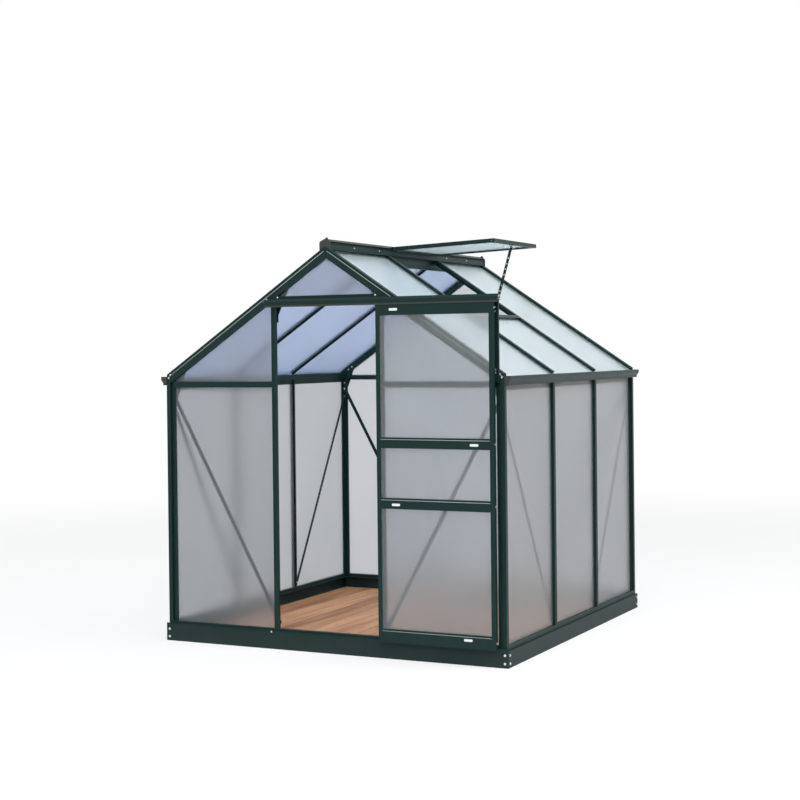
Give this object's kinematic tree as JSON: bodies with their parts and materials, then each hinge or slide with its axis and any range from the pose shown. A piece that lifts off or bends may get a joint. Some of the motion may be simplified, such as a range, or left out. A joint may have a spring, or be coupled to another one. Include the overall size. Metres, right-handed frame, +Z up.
{
  "type": "polycarbonate greenhouse",
  "caption": "Small span-roof greenhouse: dark green aluminium frame on a steel base, twin-wall panels, a sliding front door and a propped roof vent.",
  "frame": {"origin": "on the ground at the middle of the footprint, which is the underside of the timber deck", "axes": "+Z up, -Y out of the gable with the sliding door, +X towards the slope with the roof vent"},
  "size_m": [1.966, 1.978, 2.0653],
  "materials": {
    "green_frame": "satin",
    "green_base": "satin",
    "wall_polycarbonate": "satin",
    "roof_polycarbonate": "satin",
    "deck_timber": "matte",
    "wheel_nylon": "matte",
    "black_plastic": "matte",
    "zinc_steel": "satin"
  },
  "bodies": {
    "greenhouse": {"floor_deck": "deck_timber", "front_base_rail": "green_base", "back_base_rail": "green_base", "left_base_rail": "green_base", "right_base_rail": "green_base", "front_sill": "green_frame", "back_sill": "green_frame", "left_sill": "green_frame", "right_sill": "green_frame", "front_left_post": "green_frame", "front_right_post": "green_frame", "back_left_post": "green_frame", "back_right_post": "green_frame", "door_jambs": "green_frame", "back_gable_posts": "green_frame", "right_wall_bars": "green_frame", "left_wall_bars": "green_frame", "right_eave_gutter": "green_frame", "left_eave_gutter": "green_frame", "front_eave_rails": "green_frame", "back_eave_rails": "green_frame", "door_lintel": "green_frame", "front_right_rafter": "green_frame", "front_left_rafter": "green_frame", "back_right_rafter": "green_frame", "back_left_rafter": "green_frame", "right_roof_bars": "green_frame", "left_roof_bars": "green_frame", "ridge": "green_frame", "end_caps": "black_plastic", "gusset_plates": "green_frame", "wall_braces": "green_frame", "front_panels": "wall_polycarbonate", "back_panels": "wall_polycarbonate", "right_panels": "wall_polycarbonate", "left_panels": "wall_polycarbonate", "left_roof_panels": "roof_polycarbonate", "right_roof_panels": "roof_polycarbonate", "vent_sill": "green_frame", "vent_cross_rails": "green_frame", "vent_side_rails": "green_frame", "vent_panel": "roof_polycarbonate", "vent_stay": "green_frame", "stay_brackets": "zinc_steel", "door_rail": "green_frame", "door_rail_stops": "black_plastic", "door_rail_strut": "green_frame"},
    "sliding_door": {"door_stiles": "green_frame", "door_cross_rails": "green_frame", "door_panels": "wall_polycarbonate", "door_hangers": "zinc_steel", "door_wheels": "wheel_nylon", "door_guide_shoes": "black_plastic"}
  },
  "joints": [
    {"name": "door_slide", "type": "slide", "parent": "greenhouse", "child": "sliding_door", "axis": [-1, 0, 0], "range_m": [0, 0.604]}
  ]
}
